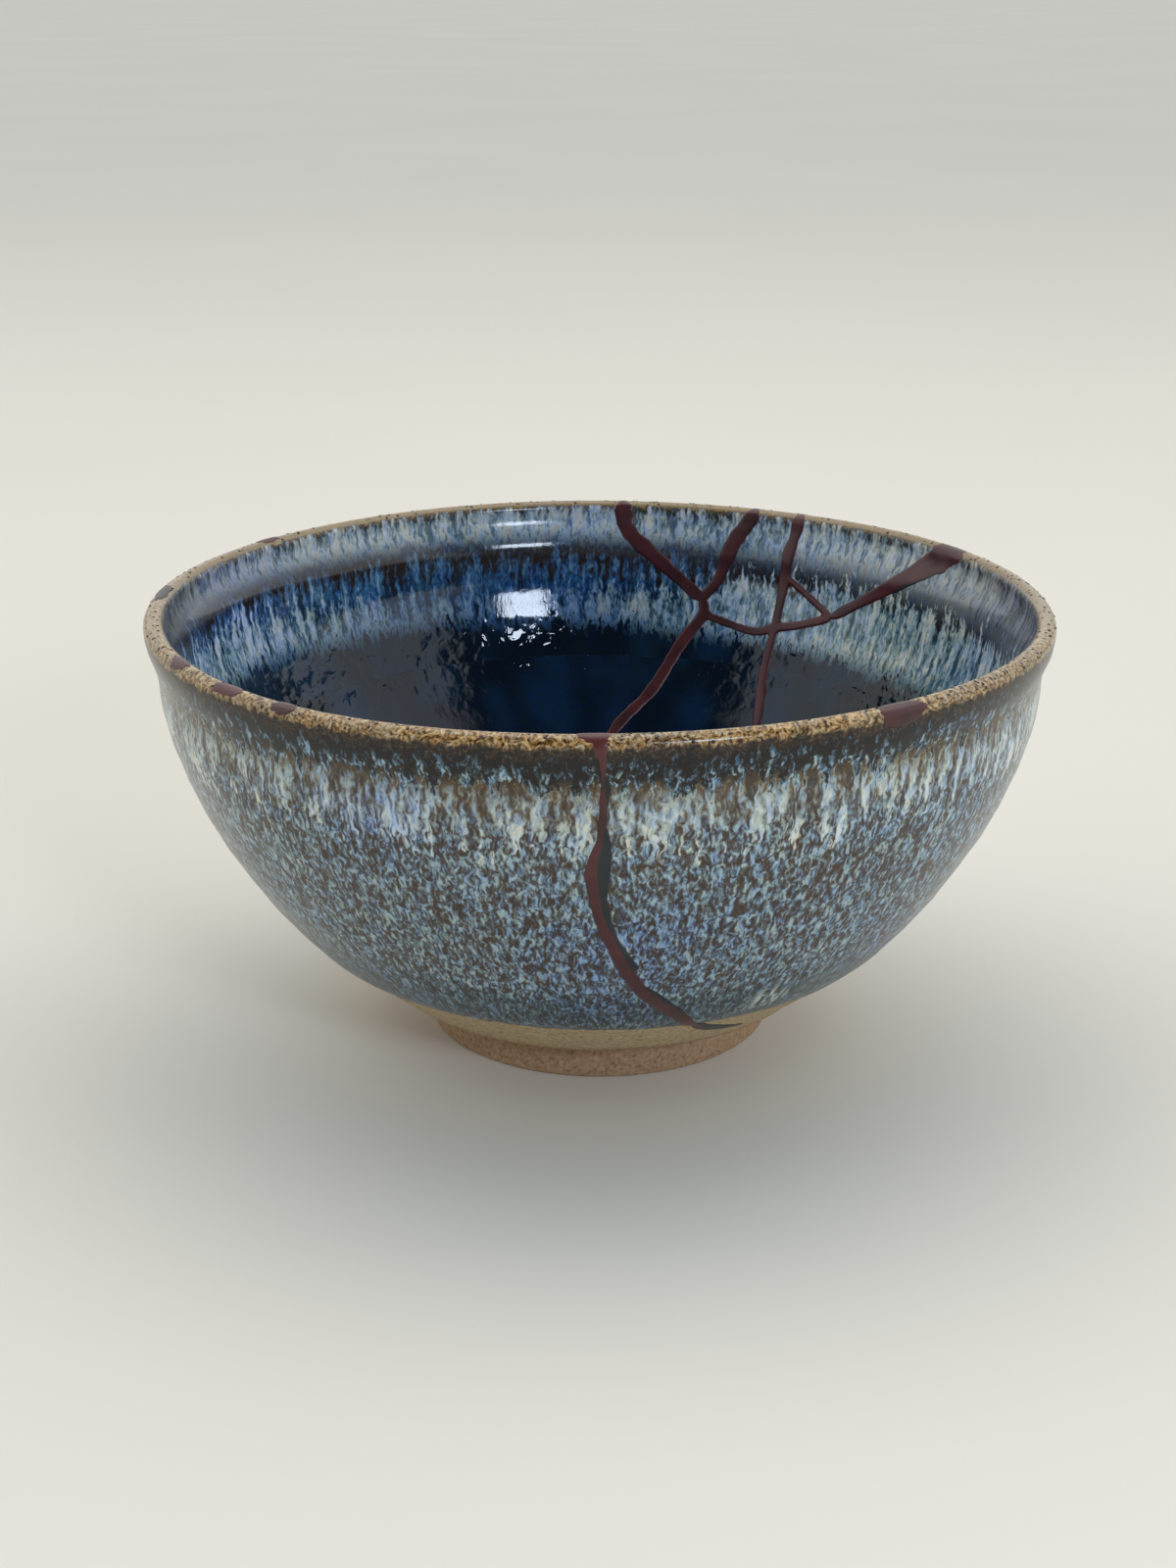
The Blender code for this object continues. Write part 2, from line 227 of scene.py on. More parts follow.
outside = np.vstack([lip_and_flare(neck, 0), body[1:], SHELF])
inside = np.vstack([lip_and_flare(inner_body[0], 180), inner_body[1:]])
fall = inside[-1] - inside[-2]
bend = inside[-1] + fall * (inside[-1][1] - FLOOR_HEIGHT) / -fall[1]
floor_middle = np.array((0.0, FLOOR_HEIGHT))
inside = np.vstack([inside, bezier(inside[-1], bend, (bend + floor_middle) / 2, floor_middle)[1:]])
foot = np.vstack(
    [
        SHELF,
        SHELF - WORN_EDGE,
        arc((FOOT_RADIUS + FOOT_TAPER + FOOT_CORNER, FOOT_TOP - FOOT_CORNER), FOOT_CORNER, 90, 180, 4),
        arc((FOOT_RADIUS - WORN_EDGE, WORN_EDGE), WORN_EDGE, 0, -90, 3),
        arc((RING_INSIDE + WORN_EDGE, WORN_EDGE), WORN_EDGE, 270, 180, 3),
        arc((RING_INSIDE - RECESS_CORNER, RECESS_DEPTH - RECESS_CORNER), RECESS_CORNER, 0, 90, 4),
        (0.0, RECESS_DEPTH),
    ]
)
OUTSIDE_RUN = runs_along(outside)[-1]
INSIDE_RUN = runs_along(inside)[-1]
section = np.vstack([foot[:0:-1], outside[:0:-1], inside])
section_runs = runs_along(section)
section_runs -= section_runs[len(foot) + len(outside) - 2]
print(f"outside run {OUTSIDE_RUN * 1000:.1f} mm, inside run {INSIDE_RUN * 1000:.1f} mm")

# %% [markdown]
# ## A place on the wall
# Everything on the bowl hugs its wall, so one function turns an angle and a run into a point and the
# direction that points straight out of the wall there. It takes whole arrays, which keeps the mends quick to
# make.

# %% Angle and run to a point
TANGENT_STEP = 0.05 * MM


def on_section(run):
    """The radius and the height of the section at a run."""
    return np.interp(run, section_runs, section[:, 0]), np.interp(run, section_runs, section[:, 1])


def wall(angle, run):
    """Points on the wall and their outward directions, by angle in degrees and run in metres."""
    radius, height = on_section(run)
    tangent_r, tangent_z = np.subtract(on_section(run + TANGENT_STEP), on_section(run - TANGENT_STEP))
    length = np.hypot(tangent_r, tangent_z)
    x = np.sin(np.radians(angle))
    y = -np.cos(np.radians(angle))
    point = np.stack([x * radius, y * radius, height], -1)
    normal = np.stack([x * tangent_z / length, y * tangent_z / length, -tangent_r / length], -1)
    return point, normal


def eased(value, start, span):
    """A smooth step from 0 to 1 that begins at the start and takes the span."""
    t = np.clip((value - start) / span, 0, 1)
    return t * t * (3 - 2 * t)


print("lip ridge:", wall(np.array([0.0]), np.array([0.0]))[0][0])

# %% [markdown]
# ## What the kiln did to the form
# Clay softens in the fire, so no thrown bowl comes out true. Here the rim dips and rises by a few tenths of
# a millimetre, and the wall isn't quite round.

# %% Warp
# The rim isn't quite level: bumps as (angle, millimetres up, degrees wide) that fade down the wall
KILN_WARP = ((-42, -0.65, 28), (38, 0.20, 30), (-120, -0.20, 35), (105, -0.25, 28), (150, -0.22, 28))
# It isn't quite round either: (waves round, waves down per metre, millimetres, phase)
OUT_OF_ROUND = (
    (2, 0, 0.10, 0.4), (3, 28, 0.07, 1.9), (5, 45, 0.05, 4.1), (8, 70, 0.035, 0.8), (13, 95, 0.02, 2.6),
)
WARP_FROM_HEIGHT = 30 * MM
WARP_SPAN = 34 * MM
WAVES_FROM_RADIUS = 34 * MM
WAVES_SPAN = 12 * MM


def settle(obj):
    """Warp a finished piece a little, as the whole bowl warped in the kiln, and smooth its shading."""
    mesh = obj.data
    points = np.empty(len(mesh.vertices) * 3, np.float32)
    mesh.vertices.foreach_get("co", points)
    points = points.reshape(-1, 3)
    angle = np.degrees(np.arctan2(points[:, 0], -points[:, 1]))
    fade = eased(points[:, 2], WARP_FROM_HEIGHT, WARP_SPAN)
    for centre, lift, width in KILN_WARP:
        away = (angle - centre + 180) % 360 - 180
        points[:, 2] += lift * MM * np.exp(-((away / width) ** 2)) * fade
    spread = np.clip((np.hypot(points[:, 0], points[:, 1]) - WAVES_FROM_RADIUS) / WAVES_SPAN, 0, 1)
    for around, down, size, start in OUT_OF_ROUND:
        wave = np.sin(np.radians(angle) * around + points[:, 2] * down * 2 * math.pi + start)
        points[:, :2] *= (1 + wave * spread * size * MM / RIM_RADIUS)[:, None]
    mesh.vertices.foreach_set("co", points.ravel())
    mesh.shade_smooth()
    mesh.update()


print("most warp:", min(lift for _, lift, _ in KILN_WARP), "mm")

# %% [markdown]
# ## Helpers for Geometry Nodes
# A tree needs named inputs, a modifier to run it, and its result as a plain mesh. These functions do that
# for the trees below. The values are set by each socket's identifier before the object is first evaluated.

# %% Trees with named inputs


def new_tree(name, values):
    """An empty geometry tree with a named input for each value, and its input node."""
    tree = bpy.data.node_groups.new(name, "GeometryNodeTree")
    for way in ("OUTPUT", "INPUT"):
        tree.interface.new_socket("Geometry", in_out=way, socket_type="NodeSocketGeometry")
    kinds = {float: "NodeSocketFloat", int: "NodeSocketInt", bpy.types.Material: "NodeSocketMaterial"}
    for label, value in values.items():
        tree.interface.new_socket(label, in_out="INPUT", socket_type=kinds[type(value)])
    return tree, tree.nodes.new("NodeGroupInput")


def apply_tree(obj, tree, values):
    """Run a tree on an object with these values, and keep the result as the object's plain mesh."""
    modifier = obj.modifiers.new(tree.name, "NODES")
    modifier.node_group = tree
    for item in tree.interface.items_tree:
        if item.in_out == "INPUT" and item.name in values:
            modifier[item.identifier] = values[item.name]
    depsgraph = bpy.context.evaluated_depsgraph_get()
    evaluated = obj.evaluated_get(depsgraph)
    made = bpy.data.meshes.new_from_object(evaluated, preserve_all_data_layers=True, depsgraph=depsgraph)
    obj.modifiers.remove(modifier)
    obj.data = made
    print_size(obj)


def print_size(obj):
    """Print how many triangles a piece has."""
    print(obj.name, "has", sum(len(p.vertices) - 2 for p in obj.data.polygons), "triangles")


def new_mesh(name, points, edges=(), faces=()):
    """A mesh object at the origin, linked to the scene."""
    mesh = bpy.data.meshes.new(name)
    mesh.from_pydata(points, edges, faces)
    return in_scene(name, mesh)


# %% [markdown]
# ## The glaze
# The glaze is iron with rutile in it, fired until it runs. On the lip it drains thin and turns ochre with
# iron specks, then it goes dark, then pale streaks of rutile hang down, and below them they break into a
# mottle of blue wisps over brown. Inside it streaks again and gathers in the well as a blue-black pool. Each
# band is a row in a table: where it starts, how softly it blends, how ragged its edge is, which grain it
# has, how glossy it is, and five colours from the darkest to the palest. A streak noise shifts where each
# band starts, so its edge drips.

# %% Bands of glaze, from the glaze line up over the lip and down to the pool
# (name, start run in mm, blend mm, ragged mm, grain, roughness, colours)
GLAZE_BANDS = (
    ("low field", -60, 1, 0, "mottle", 0.28, ("#22282a", "#323a3c", "#42525a", "#5a7688", "#86a4b4")),
    ("field", -45, 9, 3, "mottle", 0.24, ("#463a32", "#5a4f48", "#626f7b", "#829fb1", "#b2cad6")),
    ("drips", -14.8, 3.4, 6, "fringes", 0.22, ("#4c4134", "#766d60", "#95a6ad", "#bccfd5", "#e6f0f0")),
    ("drip heads", -9.8, 2.0, 4, "fringes", 0.22, ("#2a1e10", "#685436", "#8e9288", "#b2c2c4", "#e0ebec")),
    ("iron flecks", -8.2, 1.2, 4.0, "flecks", 0.22, ("#0f0b09", "#181411", "#2a2f33", "#5e7988", "#b0ccd8")),
    ("iron band", -5.6, 1.4, 3.0, "flecks", 0.22, ("#0c0907", "#110d0b", "#161210", "#1e1b1a", "#54758a")),
    ("lip fringe", -3.5, 1.2, 1.4, "specks", 0.26, ("#1a120d", "#261b14", "#35281e", "#483828", "#5e4c38")),
    ("lip", -2.2, 0.7, 0.5, "specks", 0.20, ("#341c0e", "#88673c", "#aa8957", "#bfa274", "#dccaa4")),
    ("inner iron", 1.2, 0.8, 0.8, "fringes", 0.20, ("#423a31", "#4e473f", "#5b5650", "#6a6763", "#7e8082")),
    ("inner pale", 2.0, 1.6, 1.5, "fringes", 0.16, ("#5e7688", "#88a2b4", "#b2c8d6", "#d0dee6", "#ecf4f8")),
    ("inner brown", 7.2, 4.0, 3.4, "fringes", 0.10, ("#281a11", "#30251f", "#363640", "#3f4a5c", "#58708a")),
    ("inner blue", 12.0, 3.8, 4.0, "fringes", 0.06, ("#122a42", "#21486c", "#2f608c", "#4075a4", "#6b98be")),
    ("inner cream", 18.4, 3.5, 4.5, "fringes", 0.06, ("#3a5864", "#7092a0", "#9cbac2", "#c2d4d4", "#eef4f0")),
    ("pool", 21.6, 2.0, 3.5, "clouds", 0.045, ("#0d1c28", "#0e202e", "#102535", "#12293c", "#142f46")),
)
# A noise's values gather round the middle, so the colours stand where its shares of 3, 22, 50, 78 and 97% lie
COLOUR_PLACES = (0.36, 0.445, 0.50, 0.56, 0.65)
print("bands of glaze:", len(GLAZE_BANDS))

# %% [markdown]
# ## One material for the glazed wall and the bare clay
# Both are one ceramic body, and where the glaze ends is a ragged line on it, so one shader blends two
# surfaces by the distance from that line. Stoneware glaze is glass, with an IOR near 1.5: where it drained
# thin it is a little rough, at 0.2 to 0.3, and in the pool it is as smooth as water. Bare stoneware is matt,
# buff where it was scraped and pinker on the foot, with dark iron grains. The grains read the piece's own
# path, which goes round and down the wall, so streaks follow the form.

# %% What the shader reads, and the grains
glaze, tree, shader, where = new_material("Rutile and iron glaze on stoneware")
path = add(tree, "ShaderNodeAttribute", attribute_name="path").outputs["Vector"]
run = add(tree, "ShaderNodeAttribute", attribute_name="run").outputs["Fac"]
edge = add(tree, "ShaderNodeAttribute", attribute_name="edge").outputs["Fac"]

# In the pool the path's lines would all meet at the middle, so the grains read the place there
POOL_RUN = 27 * MM
in_well = add(tree, MATH, {0: run, 1: POOL_RUN}, "GREATER_THAN")
path = add(tree, MIX, {0: in_well, "A": path, "B": where}, data_type="VECTOR")

# A slow shiver bends every grain a little, as the glaze swirled when it ran
SHIVER_SIZE = 1.3 * MM
SHIVER_REACH = (0.65 * MM, 0.65 * MM, 1.6 * MM)
MID_GREY = (0.5, 0.5, 0.5)
shiver = add(tree, NOISE, {"Vector": path, "Scale": 1 / SHIVER_SIZE, "Detail": 0.0})
shiver = add(tree, "ShaderNodeVectorMath", {0: shiver.outputs["Color"], 1: MID_GREY}, "SUBTRACT")
bent = add(tree, "ShaderNodeVectorMath", {0: shiver, 1: SHIVER_REACH, 2: path}, "MULTIPLY_ADD")

# (width across in mm, times longer down the wall, detail, roughness)
GRAINS = {
    "columns": (2.6, 4.0, 1, 0.5),
    "streaks": (0.95, 6.0, 2, 0.6),
    "threads": (0.40, 2.6, 2, 0.6),
    "cells": (0.88, 2.1, 2, 0.6),
    "specks": (0.45, 1.0, 3, 0.6),
    "ripples": (1.9, 1.0, 1, 0.5),
    "hues": (0.85, 2.6, 1, 0.6),
    "clouds": (9.0, 1.6, 1, 0.5),
    "drift": (30.0, 1.0, 1, 0.5),
}
grains = {}
for name, (width, stretch, detail, rough) in GRAINS.items():
    scale = 1 / (width * MM)
    scaling = (scale, scale, scale / stretch)
    scaled = add(tree, "ShaderNodeVectorMath", {0: bent, 1: scaling}, "MULTIPLY")
    settings = {"Vector": scaled, "Scale": 1.0, "Detail": detail, "Roughness": rough}
    grains[name] = add(tree, NOISE, settings).outputs["Fac"]

# Blends of grains, as (portions of each, how much wider the values spread)
BLENDS = {
    "mottle": ((("cells", 0.43), ("threads", 0.57)), 1.42),
    "fringes": ((("columns", 0.20), ("streaks", 0.52), ("threads", 0.28)), 1.45),
    "flecks": ((("cells", 0.45), ("threads", 0.55)), 1.3),
}
for name, (portions, contrast) in BLENDS.items():
    total = 0.0
    for grain, portion in portions:
        total = add(tree, MATH, {0: grains[grain], 1: portion, 2: total}, "MULTIPLY_ADD")
    limits = {"Value": total, "From Min": 0.5 - 0.5 / contrast, "From Max": 0.5 + 0.5 / contrast}
    grains[name] = add(tree, RANGE, limits).outputs["Result"]
print("grains:", ", ".join(grains))

# %% Where each effect holds
# The pool's ripples fade out between these two runs
CALM_FROM = 29 * MM
CALM_AT = 38 * MM
FOOT_TOP_RUN = -OUTSIDE_RUN / MM
here = add(tree, "ShaderNodeSeparateXYZ", {"Vector": where})
run_flat = add(tree, MATH, {0: run, 1: 1 / MM}, "MULTIPLY")
# The cream streaks inside are thinnest 20 mm to the left of the middle
off_middle = add(tree, MATH, {0: here.outputs["X"], 1: 20 * MM}, "ADD")
sideways = add(tree, MATH, {0: off_middle}, "ABSOLUTE")
# Where a drip of pure rutile ran to the glaze line, low on the right
PALE_RUN = wall(29.0, -49.8 * MM)[0]
from_pale = add(tree, "ShaderNodeVectorMath", {0: where, 1: tuple(PALE_RUN)}, "DISTANCE")

# (measure, where it starts, where it ends, value before, value after)
RAMPS = {
    "lean": (run_flat, 2.0, 10.0, 0.0, -45.0),
    "sides": (sideways, 10 * MM, 44 * MM, 0.22, 1.0),
    "right": (here.outputs["X"], 12 * MM, 42 * MM, 0.0, 4.2),
    # The pale band grows fuller towards the back: partly painted light where the window falls, partly the
    # glaze's own
    "back": (here.outputs["Y"], 5 * MM, 50 * MM, 0.2, 1.0),
    "plain lip": (here.outputs["Y"], -50 * MM, 10 * MM, 0.0, 0.85),
    "near pale run": (from_pale.outputs["Value"], 4.2 * MM, 1.2 * MM, 0.0, 1.0),
    "in streak": (grains["streaks"], 0.46, 0.56, 0.0, 1.0),
    "above foot": (run_flat, FOOT_TOP_RUN - 1.0, FOOT_TOP_RUN + 1.0, 0.0, 1.0),
    "toasted": (edge, -0.9 * MM, -0.05 * MM, 0.0, 0.75),
    "glazed": (edge, -0.06 * MM, 0.06 * MM, 0.0, 1.0),
    "waves": (run, CALM_FROM, CALM_AT, 1.0, 0.12),
}
ramps = {}
for name, (measure, start, end, before, after) in RAMPS.items():
    limits = {"Value": measure, "From Min": start, "From Max": end, "To Min": before, "To Max": after}
    ramps[name] = add(tree, RANGE, limits).outputs["Result"]

# %% The bands, one over the other
# The glaze ran further down the inside on the right. Its cream streaks are thickest at both sides, most of
# all on the right. The pale band under the lip is fuller towards the back: partly the glaze's own, with
# darker iron at the sides, and partly painted light, where the window lights the back of the inner wall.
run_mm = add(tree, MATH, {0: here.outputs["X"], 1: ramps["lean"], 2: run_flat}, "MULTIPLY_ADD")
cream_run = add(tree, MATH, {0: ramps["sides"], 1: 4.5, 2: run_mm}, "MULTIPLY_ADD")
cream_run = add(tree, MATH, {0: cream_run, 1: ramps["right"]}, "ADD")
THINNED_AND_LIT = {"inner cream": ramps["sides"], "inner pale": ramps["back"]}
SWING = 4.0
colour = None
for name, start, blend, ragged, grain, gloss, colours in GLAZE_BANDS:
    stops = list(zip(COLOUR_PLACES, colours))
    band = add(tree, "ShaderNodeValToRGB", {"Fac": grains[grain]}, stops=stops, label=name)
    if colour is None:
        colour = band.outputs["Color"]
        roughness = gloss
        continue
    run_here = cream_run if name == "inner cream" else run_mm
    shifted = add(tree, MATH, {0: grains["fringes"], 1: SWING * ragged, 2: run_here}, "MULTIPLY_ADD")
    middle = start + SWING / 2 * ragged
    limits = {"Value": shifted, "From Min": middle - blend / 2, "From Max": middle + blend / 2}
    share = add(tree, RANGE, limits, interpolation_type="SMOOTHSTEP")
    if name in THINNED_AND_LIT:
        share = add(tree, MATH, {0: share, 1: THINNED_AND_LIT[name]}, "MULTIPLY")
    colour = add(tree, MIX, {0: share, "A": colour, "B": band.outputs["Color"]}, data_type="RGBA")
    roughness = add(tree, MIX, {0: share, "A": roughness, "B": gloss})
# The last band is the pool
pool_share = share

# Slow drifts of warm and cool over the bowl, and a finer play of hue within the streaks
TINTS = (
    ("drift", 1.0, ((0.38, "#fbf7f0"), (0.50, "#f4f4f4"), (0.62, "#e8ecff"))),
    ("hues", 0.6, ((0.38, "#faebd0"), (0.50, "#f6f6f6"), (0.60, "#cddcfa"))),
)
for grain, strength, stops in TINTS:
    tint = add(tree, "ShaderNodeValToRGB", {"Fac": grains[grain]}, stops=stops)
    layers = {0: strength, "A": colour, "B": tint.outputs["Color"]}
    colour = add(tree, MIX, layers, data_type="RGBA", blend_type="MULTIPLY")

# %% The pale run, the plain ochre of the lip's back, and the clay below the glaze line
GRIT_SIZE = 0.6 * MM
CLAY_ROUGHNESS = 0.85
pale = add(tree, MATH, {0: ramps["near pale run"], 1: ramps["in streak"]}, "MULTIPLY")
on_lip = add(tree, MATH, {0: run_mm, 1: -0.45, 2: 1.75}, "COMPARE")
plain = add(tree, MATH, {0: ramps["plain lip"], 1: on_lip}, "MULTIPLY")
glazed = colour
for share, tone in ((pale, "#ccd6d0"), (plain, "#8f7c5b")):
    glazed = add(tree, MIX, {0: share, "A": glazed, "B": linear(tone)}, data_type="RGBA")
coarse = {"Vector": where, "Scale": 1 / GRIT_SIZE, "Detail": 3.0, "Roughness": 0.65}
grit = add(tree, NOISE, coarse).outputs["Fac"]
CLAY_STOPS = ((0.28, "#7c674e"), (0.40, "#aa9472"), (0.52, "#bba681"), (0.70, "#cab796"))
buff = add(tree, "ShaderNodeValToRGB", {"Fac": grit}, stops=CLAY_STOPS).outputs["Color"]
flushed = {0: 1.0, "A": buff, "B": linear("#e8d8d6")}
pinker = add(tree, MIX, flushed, data_type="RGBA", blend_type="MULTIPLY")
clay = add(tree, MIX, {0: ramps["above foot"], "A": pinker, "B": buff}, data_type="RGBA")
clay = add(tree, MIX, {0: ramps["toasted"], "A": clay, "B": linear("#8a5f38")}, data_type="RGBA")
surface = add(tree, MIX, {0: ramps["glazed"], "A": clay, "B": glazed}, data_type="RGBA")
gloss = add(tree, MIX, {0: ramps["glazed"], "A": CLAY_ROUGHNESS, "B": roughness})

# %% The wisps' relief, and the pool's small ripples, which lie calm in the middle
WISP_RELIEF = 0.05 * MM
RIPPLE_RELIEF = 0.19 * MM
GLAZE_IOR = 1.46
rippled = add(tree, MATH, {0: pool_share, 1: ramps["waves"]}, "MULTIPLY")
wisps = {"Strength": 0.35, "Distance": WISP_RELIEF, "Height": grains["mottle"]}
relief = add(tree, "ShaderNodeBump", wisps)
ripples = {"Strength": rippled, "Distance": RIPPLE_RELIEF, "Height": grains["ripples"], "Normal": relief}
relief = add(tree, "ShaderNodeBump", ripples)
tree.links.new(first_output(surface), shader.inputs["Base Color"])
tree.links.new(first_output(gloss), shader.inputs["Roughness"])
tree.links.new(first_output(relief), shader.inputs["Normal"])
shader.inputs["IOR"].default_value = GLAZE_IOR
print("glaze nodes:", len(tree.nodes))

# %% [markdown]
# ## The bowl, turned in Geometry Nodes
# The wheel and the turning tool make the form, so the tree works like a lathe: it takes the section as a
# string of points, carries it round the axis on a grid, and closes the seam and the poles. Then it adds what
# hands and heat leave: faint spiral throwing rings, dimples in the glaze, ripples where it pooled, and the
# thick roll where it stopped above the shelf. It also stores three attributes for the shader: the run, the
# path round and down the wall, and the distance above the glaze line.

# %% The rows of the section, close together where the form turns or ripples
FOOT_SPACING = 1.2 * MM
foot_runs = section_runs[section_runs <= -OUTSIDE_RUN + 1e-6]
rows = []
for start, end in zip(foot_runs, foot_runs[1:]):
    rows += list(np.linspace(start, end, max(1, round((end - start) / FOOT_SPACING)) + 1))
# (from, to, spacing) in mm
ROW_SPACINGS = (
    (-OUTSIDE_RUN / MM, -57.4, 0.9), (-57.4, -55.0, 0.2), (-55.0, -3.0, 1.7), (-3.0, 3.0, 0.38),
    (3.0, 19.5, 1.5), (19.5, 32.0, 0.5), (32.0, 40.0, 0.8), (40.0, INSIDE_RUN / MM, 1.8),
)
for start, end, spacing in ROW_SPACINGS:
    rows += list(np.linspace(start, end, round((end - start) / spacing) + 1) * MM)
rows = np.unique(np.round(rows, 7))
points = [(radius, 0.0, height) for radius, height in zip(*on_section(rows))]
bowl = new_mesh("tea_bowl", points, [(i, i + 1) for i in range(len(rows) - 1)])
bowl.data.attributes.new("run", "FLOAT", "POINT").data.foreach_set("value", rows.astype(np.float32))
print("rows:", len(rows))

# %% The lathe tree
GLAZE_RUN = 56.2 * MM
LINE_WOBBLE = 0.9 * MM
ROLL_HEIGHT = 0.28 * MM
ROLL_FOOT = -0.1 * MM
ROLL_TOP = 0.5 * MM
ROLL_END = 9 * MM
MERGE_GAP = 0.002 * MM
BOWL_VALUES = {
    "Segments": 512,
    "Path radius": 55 * MM,
    "Glaze line": GLAZE_RUN,
    "Line wobble": LINE_WOBBLE,
    "Roll height": ROLL_HEIGHT,
    "Ring spacing": 5.2 * MM,
    "Ring depth": 0.035 * MM,
    "Dimple size": 4 * MM,
    "Dimple depth": 0.035 * MM,
    "Ripple size": 2.4 * MM,
    "Ripple depth": 0.36 * MM,
    "Clay": glaze,
}
lathe, given = new_tree("Turn and glaze the bowl", BOWL_VALUES)
values = given.outputs
string = values["Geometry"]
row_count = add(lathe, "GeometryNodeAttributeDomainSize", {"Geometry": string}).outputs["Point Count"]
columns = add(lathe, MATH, {0: values["Segments"], 1: 1.0}, "ADD")
sheet = add(lathe, "GeometryNodeMeshGrid", {"Vertices X": columns, "Vertices Y": row_count})
index = add(lathe, "GeometryNodeInputIndex")
ratio = add(lathe, MATH, {0: index, 1: row_count}, "DIVIDE")
column = add(lathe, MATH, {0: ratio}, "FLOOR")
row = add(lathe, MATH, {0: index, 1: row_count}, "MODULO")
turn = add(lathe, MATH, {0: column, 1: values["Segments"]}, "DIVIDE")
angle = add(lathe, MATH, {0: turn, 1: 2 * math.pi}, "MULTIPLY")
east = add(lathe, MATH, {0: angle}, "SINE")
north = add(lathe, MATH, {0: angle}, "COSINE")
south = add(lathe, MATH, {0: north, 1: -1.0}, "MULTIPLY")
in_row = {"Geometry": string, "Value": add(lathe, "GeometryNodeInputPosition"), "Index": row}
point_there = add(lathe, "GeometryNodeSampleIndex", in_row, data_type="FLOAT_VECTOR")
in_row["Value"] = add(lathe, ATTRIBUTE, {"Name": "run"})
run_there = add(lathe, "GeometryNodeSampleIndex", in_row)
split = add(lathe, "ShaderNodeSeparateXYZ", {"Vector": point_there})
off_wheel = {"Z": split.outputs["Z"]}
on_path = {}
for axis, way in (("X", east), ("Y", south)):
    off_wheel[axis] = add(lathe, MATH, {0: way, 1: split.outputs["X"]}, "MULTIPLY")
    on_path[axis] = add(lathe, MATH, {0: way, 1: values["Path radius"]}, "MULTIPLY")
turned = add(lathe, "ShaderNodeCombineXYZ", off_wheel)

# %% The three attributes, and the closed form
WOBBLE_SCALE = 220.0
path_there = add(lathe, "ShaderNodeCombineXYZ", {**on_path, "Z": run_there})
round_wall = add(lathe, "ShaderNodeCombineXYZ", on_path)
uneven = {"Vector": round_wall, "Scale": WOBBLE_SCALE, "Detail": 3.0, "Roughness": 0.55}
wobble = add(lathe, NOISE, uneven).outputs[0]
shifted = add(lathe, MATH, {0: wobble, 1: values["Line wobble"], 2: run_there}, "MULTIPLY_ADD")
above_line = add(lathe, MATH, {0: shifted, 1: values["Glaze line"]}, "ADD")
form = add(lathe, "GeometryNodeSetPosition", {"Geometry": sheet.outputs["Mesh"], "Position": turned})
STORED = (("run", run_there, "FLOAT"), ("edge", above_line, "FLOAT"), ("path", path_there, "FLOAT_VECTOR"))
for label, value, kind in STORED:
    kept = {"Geometry": form, "Name": label, "Value": value}
    form = add(lathe, "GeometryNodeStoreNamedAttribute", kept, data_type=kind)
form = add(lathe, "GeometryNodeMergeByDistance", {"Geometry": form, "Distance": MERGE_GAP})

# %% The relief
run_here, edge_here, path_here = (
    add(lathe, ATTRIBUTE, {"Name": label}, data_type=kind) for label, _, kind in STORED
)
# (measure, where it starts, where it ends, value before, value after, kind of step)
STEPS = {
    "in pool": (run_here, 20.5 * MM, 23 * MM, 0.0, 1.0, "LINEAR"),
    "waves": (run_here, CALM_FROM, CALM_AT, 1.0, 0.0, "LINEAR"),
    "on wall": (edge_here, -14 * MM, -8 * MM, 0.0, 1.0, "LINEAR"),
    "roll begins": (edge_here, ROLL_FOOT, ROLL_TOP, 0.0, 1.0, "SMOOTHSTEP"),
    "roll ends": (edge_here, ROLL_TOP, ROLL_END, 1.0, 0.0, "SMOOTHSTEP"),
}
steps = {}
for name, (measure, start, end, before, after, kind) in STEPS.items():
    limits = {"Value": measure, "From Min": start, "From Max": end, "To Min": before, "To Max": after}
    steps[name] = add(lathe, RANGE, limits, interpolation_type=kind)
spot = add(lathe, "ShaderNodeSeparateXYZ", {"Vector": path_here})
bearing = add(lathe, MATH, {0: spot.outputs["X"], 1: spot.outputs["Y"]}, "ARCTAN2")
rings = add(lathe, MATH, {0: run_here, 1: values["Ring spacing"]}, "DIVIDE")
phase = add(lathe, MATH, {0: rings, 1: 2 * math.pi, 2: bearing}, "MULTIPLY_ADD")
wave = add(lathe, MATH, {0: phase}, "SINE")
height = add(lathe, MATH, {0: wave, 1: values["Ring depth"]}, "MULTIPLY")
at_edge = add(lathe, MATH, {0: steps["in pool"], 1: steps["waves"]}, "MULTIPLY")
on_sides = add(lathe, MATH, {0: steps["in pool"], 1: -2.0, 2: 2.0}, "MULTIPLY_ADD")
spot_itself = add(lathe, "GeometryNodeInputPosition")
for label, field, strength in (("Dimple", path_here, on_sides), ("Ripple", spot_itself, at_edge)):
    shrunk = add(lathe, MATH, {0: 1.0, 1: values[label + " size"]}, "DIVIDE")
    noise = add(lathe, NOISE, {"Vector": field, "Scale": shrunk, "Detail": 1.0})
    centred = add(lathe, MATH, {0: noise.outputs[0], 1: 0.5}, "SUBTRACT")
    scaled = add(lathe, MATH, {0: centred, 1: strength}, "MULTIPLY")
    height = add(lathe, MATH, {0: scaled, 1: values[label + " depth"], 2: height}, "MULTIPLY_ADD")
height = add(lathe, MATH, {0: height, 1: steps["on wall"]}, "MULTIPLY")
roll = add(lathe, MATH, {0: steps["roll begins"], 1: steps["roll ends"]}, "MULTIPLY")
height = add(lathe, MATH, {0: roll, 1: values["Roll height"], 2: height}, "MULTIPLY_ADD")
normal = add(lathe, "GeometryNodeInputNormal")
offset = add(lathe, "ShaderNodeVectorMath", {0: normal, "Scale": height}, "SCALE")
form = add(lathe, "GeometryNodeSetPosition", {"Geometry": form, "Offset": offset})
